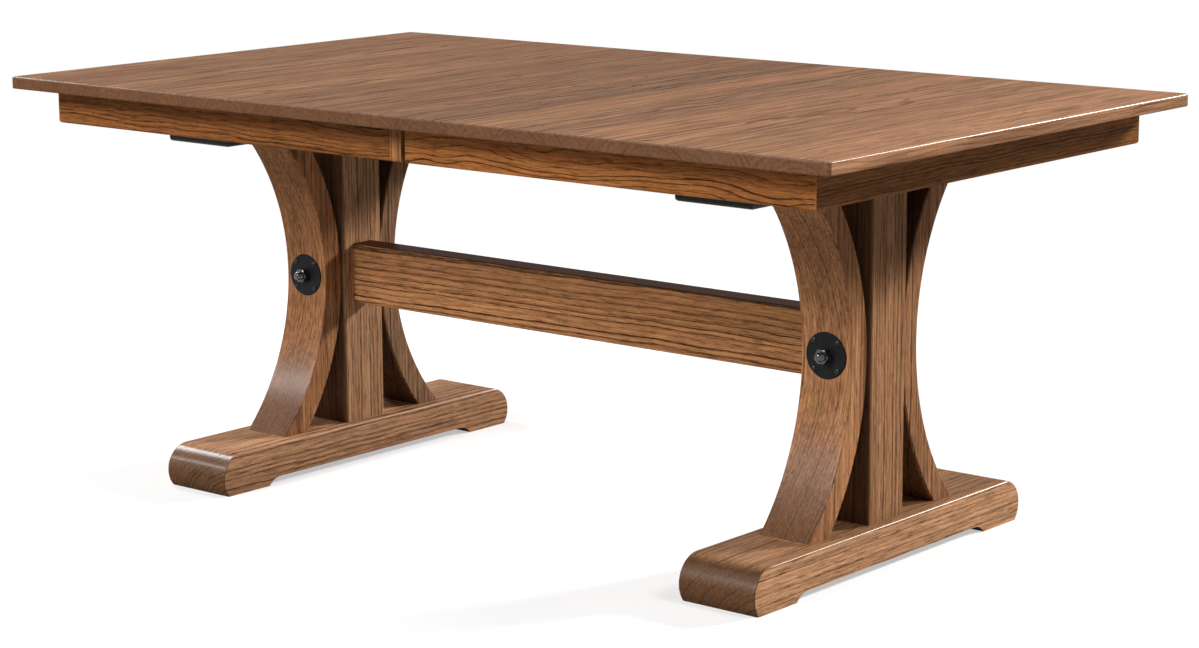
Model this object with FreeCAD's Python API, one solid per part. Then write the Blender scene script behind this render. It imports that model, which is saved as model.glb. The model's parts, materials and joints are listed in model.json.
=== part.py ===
import FreeCAD, Part
import math
import os

Vector = FreeCAD.Vector

# Trestle extension table. Origin on the floor under the middle of the top,
# +X along the table, +Y to the rear, +Z up, all lengths in millimetres.

# Overall
table_length = 1828.8
table_width = 1066.8
table_height = 762.0
slide_travel = 304.8

# Top panels
top_thickness = 22.2
top_edge_radius = 3.0
top_corner_radius = 6.5
split_gap = 0.8

# Aprons
apron_height = 63.5
apron_thickness = 22.2
apron_edge_radius = 5.0
end_overhang = 63.5
side_overhang = 57.15
end_block_width = 23.8
end_block_reach = 11.1
apron_break_gap = 9.5
corner_block_leg = 85.0
corner_block_height = 38.0

# Pedestals
pedestal_inset = 309.8
bolt_rise = 4.0
foot_length = 787.4
foot_width = 152.4
foot_height = 76.2
foot_end_radius = 46.2
foot_edge_radius = 3.2
foot_pad_length = 115.0
foot_relief = 14.0
foot_cove_run = 30.0
post_width = 114.3
post_depth = 101.6
post_edge_radius = 3.0
leg_width = 101.6
leg_thickness = 44.45
leg_flare = 101.6
leg_edge_radius = 3.2
cleat_end_gap = 76.2
cleat_width = 152.4
cleat_thickness = 31.75
cleat_edge_radius = 6.0

# Stretcher
stretcher_height = 114.3
stretcher_thickness = 50.8
stretcher_edge_radius = 3.0
tenon_height = 76.2
tenon_thickness = 25.4
tenon_length = 86.0

# Through bolts and their plates
rod_radius = 7.9
rod_end_radius = 5.0
rod_projection = 11.0
nut_across_flats = 23.8
nut_height = 13.9
plate_radius = 39.7
plate_thickness = 3.2
plate_edge_radius = 1.0
plate_recess = 0.4
plate_screw_circle_radius = 33.5

# Slides between the cleats and the top
slide_space = 60.35
rail_end_gap = 128.7
rail_top_gap = 15.9
rail_width = 38.1
rail_offset = 230.0
groove_depth = 12.7
groove_height = 12.7
slide_setback = 40.0
slide_end_gap = 90.0
slide_floor_gap = 9.55
slide_width = 38.1

# Rack and pinion that makes both halves move alike
gear_module = 4.0
pinion_teeth = 18
gear_thickness = 12.0
gear_lift = 5.0
rack_body_depth = 14.0
hanger_length = 90.0
hanger_width = 24.0
bridge_width = 130.0
bridge_thickness = 19.0
fence_thickness = 12.0
axle_radius = 6.0
axle_head_radius = 10.0
axle_head_height = 5.0

# Alignment pins in the split
pin_radius = 4.0
pin_depth = 25.0
pin_projection = 14.0
pin_tip_radius = 2.0

# Screws: shank radius, depth of the head's pocket and bite in the second piece
plate_screw_radius = 2.0
plate_screw_bite = 15.0
foot_screw_radius = 4.0
foot_screw_pocket = 8.0
foot_screw_bite = 46.0
cleat_screw_radius = 3.5
cleat_screw_pocket = 6.0
cleat_screw_bite = 46.0
post_screw_spacing = 56.0
rail_screw_radius = 2.5
rail_screw_pocket = 22.0
rail_screw_bite = 22.0
rail_screw_inset = 13.0
rail_screw_spacing = 90.0
bridge_screw_radius = 2.5
bridge_screw_pocket = 5.0
bridge_screw_bite = 16.0
bridge_screw_spacing = 80.0
top_screw_radius = 2.5
top_screw_length = 39.0
top_screw_bite = 13.0
rack_screw_radius = 1.8
rack_screw_pocket = 4.0
rack_screw_bite = 16.0

# Clearances
fit = 0.05
seat_gap = 0.3
running_gap = 0.08
sliding_gap = 0.5
tooth_slack = 0.4
pocket_gap = 0.4
overrun = 5.0

# Shares of the lengths that the patterns follow
pin_place_shares = (-0.38, -0.13, 0.13, 0.38)
slide_screw_shares = (0.12, 0.5, 0.88)
block_screw_shares = ((0.2, 0.55), (0.55, 0.2))
hanger_screw_shares = (0.3, 0.7)
rack_screw_shares = (0.12, 0.88)
screw_head_radius_share = 2.0
screw_head_height_share = 1.2
screw_tip_share = 2.0
tooth_root_share = 1.25
rack_spare_teeth = 2
flank_steps = 4
pressure_angle = math.radians(20)

# Levels and places that follow from the sizes above
half_length = table_length / 2
half_width = table_width / 2
top_underside = table_height - top_thickness
apron_bottom = top_underside - apron_height
apron_outer_x = half_length - end_overhang
apron_outer_y = half_width - side_overhang
apron_inner_x = apron_outer_x - apron_thickness
apron_inner_y = apron_outer_y - apron_thickness
left_apron_end = end_block_reach - end_block_width
right_apron_end = end_block_reach + apron_break_gap
pedestal_x = half_length - pedestal_inset
cleat_top = top_underside - slide_space
cleat_bottom = cleat_top - cleat_thickness
cleat_x = pedestal_x + post_width / 2 - cleat_width / 2
cleat_length = 2 * (apron_inner_y - cleat_end_gap)
bolt_height = (foot_height + cleat_bottom) / 2 + bolt_rise
leg_inner_face = post_depth / 2 + seat_gap
leg_outer_face = leg_inner_face + leg_thickness
leg_inner_radius = ((bolt_height - foot_height) ** 2 + leg_flare ** 2) / (2 * leg_flare)
leg_outer_radius = leg_inner_radius - leg_thickness
leg_centre_y = leg_inner_face + leg_inner_radius
plate_seat = leg_outer_face - plate_recess
plate_face = plate_seat + plate_thickness
nut_face = plate_face + nut_height
rod_length = 2 * (nut_face + rod_projection)
rail_length = 2 * (apron_inner_x - rail_end_gap)
rail_height = slide_space - rail_top_gap
rail_top = cleat_top + rail_height
rail_outer_y = rail_offset + rail_width / 2
rail_inner_y = rail_offset - rail_width / 2
rail_screw_y = rail_inner_y + rail_screw_inset
groove_middle = cleat_top + rail_height / 2
slide_length = apron_inner_x - slide_end_gap - slide_setback
slide_height = slide_space - slide_floor_gap
slide_inner_y = rail_outer_y + sliding_gap
pitch_radius = gear_module * pinion_teeth / 2
tooth_pitch = math.pi * gear_module
tooth_root_depth = tooth_root_share * gear_module
rack_root_y = pitch_radius + tooth_root_depth
rack_back_y = rack_root_y + rack_body_depth
rack_middle_y = rack_root_y + rack_body_depth / 2
gear_bottom = cleat_top + gear_lift
gear_top = gear_bottom + gear_thickness
rack_teeth_behind = math.ceil(slide_travel / tooth_pitch) + rack_spare_teeth
rack_reach = rack_teeth_behind * tooth_pitch + tooth_pitch / 2
hanger_start = rack_reach - hanger_length

along_x = Vector(1, 0, 0)
along_y = Vector(0, 1, 0)
along_z = Vector(0, 0, 1)
origin = Vector(0, 0, 0)


# Shared shapes


def box(low, high):
    low = Vector(*low)
    size = Vector(*high) - low
    return Part.makeBox(size.x, size.y, size.z, low)


def rod(start, direction, radius, length):
    return Part.makeCylinder(radius, length, start, direction)


def prism(points, direction):
    corners = [Vector(*point) for point in points]
    return Part.Face(Part.makePolygon(corners + corners[:1])).extrude(direction)


def joined(shapes):
    return shapes[0].multiFuse(shapes[1:]).removeSplitter()


def eased(shape, radius, chosen):
    return shape.makeFillet(radius, [edge for edge in shape.Edges if chosen(edge)])


def runs_along(edge, direction):
    if not isinstance(edge.Curve, Part.Line):
        return False
    return abs(edge.Curve.Direction.dot(direction)) > 1 - Part.Precision.confusion()


def near(value, target):
    return math.isclose(value, target, abs_tol=fit)


def across(shape):
    return shape.mirror(origin, along_x)


def behind(shape):
    return shape.mirror(origin, along_y)


def half_turn(shape):
    turned = shape.copy()
    turned.rotate(origin, along_z, 180)
    return turned


def save(name, shape):
    shape.exportStep("parts/" + name + ".step")


class Screw:
    def __init__(self, shank_radius, shank_length):
        self.shank_radius = shank_radius
        self.shank_length = shank_length
        self.head_radius = screw_head_radius_share * shank_radius
        self.head_height = screw_head_height_share * shank_radius

    def solid(self, seat, along):
        tip_length = screw_tip_share * self.shank_radius
        straight = self.shank_length - tip_length
        head = rod(seat, along * -1, self.head_radius, self.head_height)
        shank = rod(seat, along, self.shank_radius, straight)
        tip = Part.makeCone(self.shank_radius, 0, tip_length, seat + along * straight, along)
        return joined([head, shank, tip])

    def hole(self, seat, along):
        return rod(seat, along, self.shank_radius + fit, self.shank_length + fit)

    def pocket(self, seat, along, depth):
        return rod(seat, along * -1, self.head_radius + pocket_gap, depth)


plate_screw = Screw(plate_screw_radius, plate_thickness + plate_screw_bite)
foot_screw = Screw(foot_screw_radius, foot_height - foot_relief - foot_screw_pocket + foot_screw_bite)
cleat_screw = Screw(cleat_screw_radius, cleat_thickness - cleat_screw_pocket + cleat_screw_bite)
rail_screw = Screw(rail_screw_radius, rail_height - rail_screw_pocket + rail_screw_bite)
bridge_screw = Screw(bridge_screw_radius, bridge_thickness - bridge_screw_pocket + bridge_screw_bite)
top_screw = Screw(top_screw_radius, top_screw_length)
rack_screw = Screw(rack_screw_radius, gear_thickness - rack_screw_pocket + rack_screw_bite)


# Places of the screws, for the right pedestal or the right half


def leg_y(height, radius):
    rise = height - bolt_height
    return leg_centre_y - math.sqrt(radius ** 2 - rise ** 2)


def leg_middle_y(height):
    return (leg_y(height, leg_inner_radius) + leg_y(height, leg_outer_radius)) / 2


def foot_screw_seats():
    seat = foot_relief + foot_screw_pocket
    tip = seat + foot_screw.shank_length
    leg_place = leg_middle_y((foot_height + tip) / 2)
    places = (-leg_place, -post_screw_spacing / 2, post_screw_spacing / 2, leg_place)
    return [Vector(pedestal_x, place, seat) for place in places]


def cleat_screw_seats():
    seat = cleat_top - cleat_screw_pocket
    tip = seat - cleat_screw.shank_length
    leg_place = leg_middle_y((cleat_bottom + tip) / 2)
    places = (-leg_place, -post_screw_spacing / 2, post_screw_spacing / 2, leg_place)
    return [Vector(pedestal_x, place, seat) for place in places]


def rail_screw_seats():
    seat = rail_top - rail_screw_pocket
    offsets = (-rail_screw_spacing / 2, rail_screw_spacing / 2)
    return [Vector(cleat_x + offset, -rail_screw_y, seat) for offset in offsets]


def bridge_screw_seats():
    seat = cleat_top - bridge_thickness + bridge_screw_pocket
    offsets = (-bridge_screw_spacing / 2, bridge_screw_spacing / 2)
    return [Vector(offset, side * rail_screw_y, seat) for side in (-1, 1) for offset in offsets]


def plate_screw_seats():
    reach = plate_screw_circle_radius * math.sqrt(0.5)
    places = [(across_x, up) for across_x in (-reach, reach) for up in (-reach, reach)]
    return [Vector(pedestal_x + x, -plate_face, bolt_height + up) for x, up in places]


top_screw_seat = top_underside + top_screw_bite - top_screw.shank_length


def slide_screw_seats():
    middle_y = slide_inner_y + slide_width / 2
    places = [slide_setback + share * slide_length for share in slide_screw_shares]
    return [Vector(place, side * middle_y, top_screw_seat) for side in (-1, 1) for place in places]


def block_screw_seats():
    seats = []
    for side in (-1, 1):
        for share_x, share_y in block_screw_shares:
            x = apron_inner_x - share_x * corner_block_leg
            y = apron_inner_y - share_y * corner_block_leg
            seats.append(Vector(x, side * y, top_screw_seat))
    return seats


def hanger_screw_seats():
    places = [hanger_start + share * hanger_length for share in hanger_screw_shares]
    return [Vector(place, -rack_middle_y, top_screw_seat) for place in places]


def rack_screw_seats():
    seat = gear_bottom + rack_screw_pocket
    places = [hanger_start + share * hanger_length for share in rack_screw_shares]
    return [Vector(place, -rack_middle_y, seat) for place in places]


def drilled(shape, screw, seats, along):
    return shape.cut([screw.hole(seat, along) for seat in seats])


def pocketed(shape, screw, seats, along, depth):
    solid = drilled(shape, screw, seats, along)
    return solid.cut([screw.pocket(seat, along, depth) for seat in seats])


# Pedestal pieces, made for the right pedestal and mirrored for the left


def foot():
    end = foot_length / 2
    pad = end - foot_pad_length
    shoulder = foot_height - foot_end_radius
    arch = pad - foot_cove_run
    cove_radius = (foot_cove_run ** 2 + foot_relief ** 2) / (2 * foot_relief)
    cove_rise = math.sqrt(cove_radius ** 2 - (foot_cove_run / 2) ** 2) - cove_radius + foot_relief
    toe = end - foot_end_radius + math.sqrt(foot_end_radius ** 2 - shoulder ** 2)
    x = pedestal_x - foot_width / 2

    def at(y, z):
        return Vector(x, y, z)

    def rounded_end(side):
        top_end = at(side * (end - foot_end_radius), foot_height)
        return Part.Arc(at(side * toe, 0), at(side * end, shoulder), top_end)

    def cove(side):
        middle = at(side * (pad - foot_cove_run / 2), cove_rise)
        return Part.Arc(at(side * pad, 0), middle, at(side * arch, foot_relief))

    def line(start, finish):
        return Part.LineSegment(at(*start), at(*finish))

    outline = [
        rounded_end(-1),
        line((foot_end_radius - end, foot_height), (end - foot_end_radius, foot_height)),
        rounded_end(1),
        line((toe, 0), (pad, 0)),
        cove(1),
        line((arch, foot_relief), (-arch, foot_relief)),
        cove(-1),
        line((-pad, 0), (-toe, 0)),
    ]
    edges = Part.__sortEdges__([curve.toShape() for curve in outline])
    solid = Part.Face(Part.Wire(edges)).extrude(along_x * foot_width)
    side_faces = (x, x + foot_width)

    def upper_side(edge):
        centre = edge.CenterOfMass
        on_side = near(centre.x, side_faces[0]) or near(centre.x, side_faces[1])
        return on_side and centre.z > foot_relief + seat_gap

    solid = eased(solid, foot_edge_radius, upper_side)
    return pocketed(solid, foot_screw, foot_screw_seats(), along_z, foot_height)


def through_hole():
    start = Vector(pedestal_x, -rod_length, bolt_height)
    return rod(start, along_y, rod_radius + fit, 2 * rod_length)


def tenon(gap):
    inner_face = pedestal_x - post_width / 2
    low = (inner_face - gap, -tenon_thickness / 2 - gap, bolt_height - tenon_height / 2 - gap)
    high = (inner_face + tenon_length + gap, tenon_thickness / 2 + gap, bolt_height + tenon_height / 2 + gap)
    return box(low, high)


def post():
    low = (pedestal_x - post_width / 2, -post_depth / 2, foot_height)
    high = (pedestal_x + post_width / 2, post_depth / 2, cleat_bottom)
    solid = eased(box(low, high), post_edge_radius, lambda edge: runs_along(edge, along_z))
    solid = solid.cut([tenon(fit), through_hole()])
    solid = drilled(solid, foot_screw, foot_screw_seats(), along_z)
    return drilled(solid, cleat_screw, cleat_screw_seats(), along_z * -1)


def front_leg():
    x = pedestal_x - leg_width / 2

    def face_arc(radius):
        heights = (foot_height, bolt_height, cleat_bottom)
        points = [Vector(x, -leg_y(height, radius), height) for height in heights]
        return Part.Arc(*points).toShape()

    inner = face_arc(leg_inner_radius)
    outer = face_arc(leg_outer_radius)
    ends = [
        Part.makeLine(inner.firstVertex().Point, outer.firstVertex().Point),
        Part.makeLine(inner.lastVertex().Point, outer.lastVertex().Point),
    ]
    edges = Part.__sortEdges__([inner, ends[1], outer, ends[0]])
    solid = Part.Face(Part.Wire(edges)).extrude(along_x * leg_width)
    solid = eased(solid, leg_edge_radius, lambda edge: isinstance(edge.Curve, Part.Circle))
    spot_start = Vector(pedestal_x, -plate_seat, bolt_height)
    spot_face = rod(spot_start, along_y * -1, plate_radius + pocket_gap, leg_thickness)
    solid = solid.cut([spot_face, through_hole()])
    solid = drilled(solid, plate_screw, plate_screw_seats(), along_y)
    solid = drilled(solid, foot_screw, foot_screw_seats(), along_z)
    return drilled(solid, cleat_screw, cleat_screw_seats(), along_z * -1)


def cleat():
    low = (cleat_x - cleat_width / 2, -cleat_length / 2, cleat_bottom)
    high = (cleat_x + cleat_width / 2, cleat_length / 2, cleat_top)

    def lower(edge):
        return near(edge.CenterOfMass.z, cleat_bottom)

    solid = eased(box(low, high), cleat_edge_radius, lower)
    solid = pocketed(solid, cleat_screw, cleat_screw_seats(), along_z * -1, cleat_thickness)
    front_seats = rail_screw_seats()
    rear_seats = [Vector(seat.x, -seat.y, seat.z) for seat in front_seats]
    return drilled(solid, rail_screw, front_seats + rear_seats, along_z * -1)


def front_plate():
    start = Vector(pedestal_x, -plate_seat, bolt_height)
    disc = rod(start, along_y * -1, plate_radius, plate_thickness)
    disc = eased(disc, plate_edge_radius, lambda edge: near(edge.CenterOfMass.y, -plate_face))
    return drilled(disc.cut(through_hole()), plate_screw, plate_screw_seats(), along_y)


def through_rod():
    start = Vector(pedestal_x, -rod_length / 2, bolt_height)
    solid = rod(start, along_y, rod_radius, rod_length)
    return eased(solid, rod_end_radius, lambda edge: isinstance(edge.Curve, Part.Circle))


def front_nut():
    corner_radius = nut_across_flats / math.sqrt(3)
    corners = []
    for step in range(6):
        angle = math.radians(60 * step)
        x = pedestal_x + corner_radius * math.cos(angle)
        corners.append((x, -plate_face, bolt_height + corner_radius * math.sin(angle)))
    hexagon = prism(corners, along_y * -nut_height)
    wide_end = nut_across_flats / 2 + nut_height * math.sqrt(3)
    start = Vector(pedestal_x, -plate_face, bolt_height)
    bevel = Part.makeCone(wide_end, nut_across_flats / 2, nut_height, start, along_y * -1)
    return hexagon.common(bevel).cut(through_hole())


def stretcher():
    inner_face = pedestal_x - post_width / 2
    low = (-inner_face, -stretcher_thickness / 2, bolt_height - stretcher_height / 2)
    high = (inner_face, stretcher_thickness / 2, bolt_height + stretcher_height / 2)
    beam = eased(box(low, high), stretcher_edge_radius, lambda edge: runs_along(edge, along_x))
    hole = through_hole()
    return joined([beam, tenon(0), across(tenon(0))]).cut([hole, across(hole)])


def pedestal_group(screw, seats, along):
    right = [screw.solid(seat, along) for seat in seats]
    return Part.Compound(right + [across(solid) for solid in right])


def four_corners(solids):
    front = solids + [across(solid) for solid in solids]
    return Part.Compound(front + [behind(solid) for solid in front])


# Fixed rails and the bridge that carries the pinion


def front_rail():
    low = (-rail_length / 2, -rail_outer_y, cleat_top)
    high = (rail_length / 2, -rail_inner_y, rail_top)
    groove_low = (-rail_length, -rail_outer_y - overrun, groove_middle - groove_height / 2)
    groove_high = (rail_length, groove_depth - rail_outer_y, groove_middle + groove_height / 2)
    solid = box(low, high).cut(box(groove_low, groove_high))
    seats = rail_screw_seats()
    mirrored = [Vector(-seat.x, seat.y, seat.z) for seat in seats]
    solid = pocketed(solid, rail_screw, seats + mirrored, along_z * -1, rail_height)
    return drilled(solid, bridge_screw, bridge_screw_seats(), along_z)


def bridge():
    half = bridge_width / 2
    pad_top = gear_bottom - seat_gap
    fence_y = rack_back_y + sliding_gap
    outer_y = fence_y + fence_thickness
    board = box((-half, -rail_outer_y, cleat_top - bridge_thickness), (half, rail_outer_y, cleat_top))
    pad = box((-half, -outer_y, cleat_top), (half, outer_y, pad_top))
    front_fence = box((-half, -outer_y, pad_top), (half, -fence_y, gear_top))
    solid = joined([board, pad, front_fence, behind(front_fence)])
    hole_start = Vector(0, 0, cleat_top - bridge_thickness - overrun)
    axle_hole = rod(hole_start, along_z, axle_radius + fit, gear_top)
    solid = solid.cut(axle_hole)
    return pocketed(solid, bridge_screw, bridge_screw_seats(), along_z, bridge_thickness)


def axle():
    start = cleat_top - bridge_thickness
    head_start = gear_top + seat_gap
    shaft = rod(Vector(0, 0, start), along_z, axle_radius, head_start - start)
    head = rod(Vector(0, 0, head_start), along_z, axle_head_radius, axle_head_height)
    return joined([shaft, head])


def flank_angle(radius):
    base_radius = pitch_radius * math.cos(pressure_angle)
    roll = math.acos(min(base_radius / radius, 1))
    pitch_half = (tooth_pitch / 2 - tooth_slack) / (2 * pitch_radius)
    return pitch_half + math.tan(pressure_angle) - pressure_angle - math.tan(roll) + roll


def pinion():
    tip_radius = pitch_radius + gear_module
    root_radius = pitch_radius - tooth_root_depth
    base_radius = pitch_radius * math.cos(pressure_angle)
    flank_rise = (tip_radius - base_radius) / flank_steps
    radii = [base_radius + step * flank_rise for step in range(flank_steps + 1)]
    tooth_angle = 2 * math.pi / pinion_teeth

    def at(radius, angle):
        return Vector(radius * math.cos(angle), radius * math.sin(angle), gear_bottom)

    def flank(middle, side):
        curve = Part.BSplineCurve()
        curve.interpolate([at(radius, middle + side * flank_angle(radius)) for radius in radii])
        return curve.toShape()

    edges = []
    for tooth in range(pinion_teeth):
        middle = tooth * tooth_angle
        foot_angle = flank_angle(base_radius)
        tip_angle = flank_angle(tip_radius)
        for side in (-1, 1):
            angle = middle + side * foot_angle
            edges.append(Part.makeLine(at(root_radius, angle), at(base_radius, angle)))
            edges.append(flank(middle, side))
        tip_ends = [at(tip_radius, middle + side * tip_angle) for side in (-1, 1)]
        edges.append(Part.Arc(tip_ends[0], at(tip_radius, middle), tip_ends[1]).toShape())
        root_angles = (middle + foot_angle, middle + tooth_angle - foot_angle)
        root_ends = [at(root_radius, angle) for angle in root_angles]
        root_middle = at(root_radius, middle + tooth_angle / 2)
        edges.append(Part.Arc(root_ends[0], root_middle, root_ends[1]).toShape())
    outline = Part.Wire(Part.__sortEdges__(edges))
    solid = Part.Face(outline).extrude(along_z * gear_thickness)
    bore = rod(Vector(0, 0, gear_bottom - overrun), along_z, axle_radius + running_gap, gear_top)
    return solid.cut(bore)


# Pieces of the sliding halves, made for the right half


def top_panel():
    low = (split_gap / 2, -half_width, top_underside)
    high = (half_length, half_width, table_height)

    def outer_corner(edge):
        return runs_along(edge, along_z) and near(edge.CenterOfMass.x, half_length)

    def rim(edge):
        centre = edge.CenterOfMass
        level = near(centre.z, table_height) or near(centre.z, top_underside)
        return level and not near(centre.x, split_gap / 2)

    solid = eased(box(low, high), top_corner_radius, outer_corner)
    solid = eased(solid, top_edge_radius, rim)
    seats = slide_screw_seats() + block_screw_seats() + hanger_screw_seats()
    return drilled(solid, top_screw, seats, along_z)


def pin_places():
    middle = (table_height + top_underside) / 2
    return [Vector(0, share * table_width, middle) for share in pin_place_shares]


def right_panel():
    depth = pin_depth + split_gap / 2
    return top_panel().cut([rod(place, along_x, pin_radius + fit, depth) for place in pin_places()])


def left_panel():
    depth = pin_projection + overrun
    holes = [rod(place, along_x * -1, pin_radius + seat_gap, depth) for place in pin_places()]
    return half_turn(top_panel()).cut(holes)


def alignment_pins():
    pins = []
    for place in pin_places():
        start = place - along_x * pin_projection
        length = pin_projection + split_gap / 2 + pin_depth - fit
        pin = rod(start, along_x, pin_radius, length)
        pins.append(eased(pin, pin_tip_radius, lambda edge: near(edge.CenterOfMass.x, start.x)))
    return Part.Compound(pins)


def apron_bar(outline):
    points = [(x, y, apron_bottom) for x, y in outline]
    return prism(points, along_z * apron_height)


def lower_outer(edge, direction, place):
    centre = edge.CenterOfMass
    outer = centre.y if direction == along_x else centre.x
    return runs_along(edge, direction) and near(centre.z, apron_bottom) and near(outer, place)


def front_apron(start):
    outline = [
        (start, -apron_outer_y),
        (apron_outer_x, -apron_outer_y),
        (apron_inner_x, -apron_inner_y),
        (start, -apron_inner_y),
    ]
    bar = apron_bar(outline)
    return eased(bar, apron_edge_radius, lambda edge: lower_outer(edge, along_x, -apron_outer_y))


def end_apron():
    outline = [
        (apron_outer_x, -apron_outer_y),
        (apron_outer_x, apron_outer_y),
        (apron_inner_x, apron_inner_y),
        (apron_inner_x, -apron_inner_y),
    ]
    bar = apron_bar(outline)
    return eased(bar, apron_edge_radius, lambda edge: lower_outer(edge, along_y, apron_outer_x))


def front_end_block():
    low = (left_apron_end, -apron_outer_y, apron_bottom)
    high = (end_block_reach, -apron_inner_y, top_underside - seat_gap)
    block = box(low, high)
    return eased(block, apron_edge_radius, lambda edge: lower_outer(edge, along_x, -apron_outer_y))


def front_corner_block():
    bottom = top_underside - corner_block_height
    outline = [
        (apron_inner_x, -apron_inner_y, bottom),
        (apron_inner_x, corner_block_leg - apron_inner_y, bottom),
        (apron_inner_x - corner_block_leg, -apron_inner_y, bottom),
    ]
    block = prism(outline, along_z * corner_block_height)
    return pocketed(block, top_screw, block_screw_seats(), along_z, corner_block_height)


def front_slide():
    end = slide_setback + slide_length
    low = (slide_setback, -slide_inner_y - slide_width, top_underside - slide_height)
    high = (end, -slide_inner_y, top_underside)
    tongue_half = groove_height / 2 - sliding_gap
    tongue_low = (slide_setback, -slide_inner_y, groove_middle - tongue_half)
    tongue_high = (end, groove_depth - rail_outer_y - sliding_gap, groove_middle + tongue_half)
    solid = joined([box(low, high), box(tongue_low, tongue_high)])
    return pocketed(solid, top_screw, slide_screw_seats(), along_z, slide_height)


def rack():
    lean = math.tan(pressure_angle)
    half_tooth = (tooth_pitch / 2 - tooth_slack) / 2
    tip_half = half_tooth - gear_module * lean
    root_half = half_tooth + tooth_root_depth * lean
    tip_y = gear_module - pitch_radius
    points = [(rack_reach, -rack_back_y), (-rack_reach, -rack_back_y), (-rack_reach, -rack_root_y)]
    for tooth in range(-rack_teeth_behind, rack_spare_teeth + 1):
        middle = tooth * tooth_pitch
        points.append((middle - root_half, -rack_root_y))
        points.append((middle - tip_half, tip_y))
        points.append((middle + tip_half, tip_y))
        points.append((middle + root_half, -rack_root_y))
    points.append((rack_reach, -rack_root_y))
    bar = prism([(x, y, gear_bottom) for x, y in points], along_z * gear_thickness)
    return pocketed(bar, rack_screw, rack_screw_seats(), along_z, gear_thickness)


def hanger():
    low = (hanger_start, -rack_middle_y - hanger_width / 2, gear_top)
    high = (rack_reach, hanger_width / 2 - rack_middle_y, top_underside)
    solid = drilled(box(low, high), rack_screw, rack_screw_seats(), along_z)
    return pocketed(solid, top_screw, hanger_screw_seats(), along_z, slide_space)


def top_screws():
    seats = slide_screw_seats() + block_screw_seats() + hanger_screw_seats()
    return Part.Compound([top_screw.solid(seat, along_z) for seat in seats])


def rack_screws():
    return Part.Compound([rack_screw.solid(seat, along_z) for seat in rack_screw_seats()])


# The base


def save_both_sides(name, shape):
    save("right_" + name, shape)
    save("left_" + name, across(shape))


def save_front_and_rear(name, shape):
    save_both_sides("front_" + name, shape)
    save_both_sides("rear_" + name, behind(shape))


os.makedirs("parts", exist_ok=True)

save_both_sides("foot", foot())
save_both_sides("post", post())
save_both_sides("cleat", cleat())
save_both_sides("through_rod", through_rod())
save_front_and_rear("leg", front_leg())
save_front_and_rear("bolt_plate", front_plate())
save("stretcher", stretcher())
save("hex_nuts", four_corners([front_nut()]))
save("plate_screws", four_corners([plate_screw.solid(seat, along_y) for seat in plate_screw_seats()]))
save("foot_screws", pedestal_group(foot_screw, foot_screw_seats(), along_z))
save("cleat_screws", pedestal_group(cleat_screw, cleat_screw_seats(), along_z * -1))
save("front_fixed_rail", front_rail())
save("rear_fixed_rail", behind(front_rail()))
save("rail_screws", four_corners([rail_screw.solid(seat, along_z * -1) for seat in rail_screw_seats()]))
save("pinion_bridge", bridge())
save("bridge_screws", Part.Compound([bridge_screw.solid(seat, along_z) for seat in bridge_screw_seats()]))
save("pinion_axle", axle())
save("pinion", pinion())

# The sliding halves

save("right_top_panel", right_panel())
save("left_top_panel", left_panel())
save("alignment_pins", alignment_pins())
save("right_front_apron", front_apron(right_apron_end))
save("right_rear_apron", behind(front_apron(right_apron_end)))
save("left_front_apron", across(front_apron(-left_apron_end)))
save("left_rear_apron", half_turn(front_apron(-left_apron_end)))
save_both_sides("end_apron", end_apron())
save("left_front_end_block", front_end_block())
save("left_rear_end_block", behind(front_end_block()))
save_front_and_rear("corner_block", front_corner_block())
save_front_and_rear("slide", front_slide())
save("right_rack", rack())
save("left_rack", half_turn(rack()))
save("right_rack_hanger", hanger())
save("left_rack_hanger", half_turn(hanger()))
save("right_top_screws", top_screws())
save("left_top_screws", half_turn(top_screws()))
save("right_rack_screws", rack_screws())
save("left_rack_screws", half_turn(rack_screws()))
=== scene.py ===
import json
import math

import bmesh
import bpy
from mathutils import Euler, Matrix, Vector


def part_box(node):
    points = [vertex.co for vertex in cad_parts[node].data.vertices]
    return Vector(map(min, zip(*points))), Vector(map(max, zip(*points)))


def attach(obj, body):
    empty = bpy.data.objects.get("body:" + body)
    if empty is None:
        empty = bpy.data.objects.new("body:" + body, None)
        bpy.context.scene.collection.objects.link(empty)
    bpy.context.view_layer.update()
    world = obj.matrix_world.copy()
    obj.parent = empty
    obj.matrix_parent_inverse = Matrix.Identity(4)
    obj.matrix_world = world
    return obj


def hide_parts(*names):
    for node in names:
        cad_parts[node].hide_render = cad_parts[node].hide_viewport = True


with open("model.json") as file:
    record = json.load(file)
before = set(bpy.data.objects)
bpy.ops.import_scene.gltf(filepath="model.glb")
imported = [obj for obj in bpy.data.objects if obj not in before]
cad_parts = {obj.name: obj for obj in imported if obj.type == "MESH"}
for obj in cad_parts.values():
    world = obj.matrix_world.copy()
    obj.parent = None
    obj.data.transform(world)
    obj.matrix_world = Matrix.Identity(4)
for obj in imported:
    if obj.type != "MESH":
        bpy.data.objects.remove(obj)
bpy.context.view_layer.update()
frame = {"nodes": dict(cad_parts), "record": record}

# Looks of an oak trestle extension table. Lengths in metres, +Z up, the front faces -Y.
nodes = frame["nodes"]
slot_of = {subpart["node"]: subpart["material_slot"] for subpart in frame["record"]["subparts"]}
body_of = {node: body for body, held in frame["record"]["behaviour"]["bodies"].items() for node in held}

# View
photo_width = 1199
focal_pixels = 2916.2
sensor_width_mm = 36.0
camera_place = Vector((3.3129, -3.9459, 1.3502))
camera_azimuth = math.radians(39.668)
camera_elevation = math.radians(11.207)
camera_roll = math.radians(-0.26)

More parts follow.
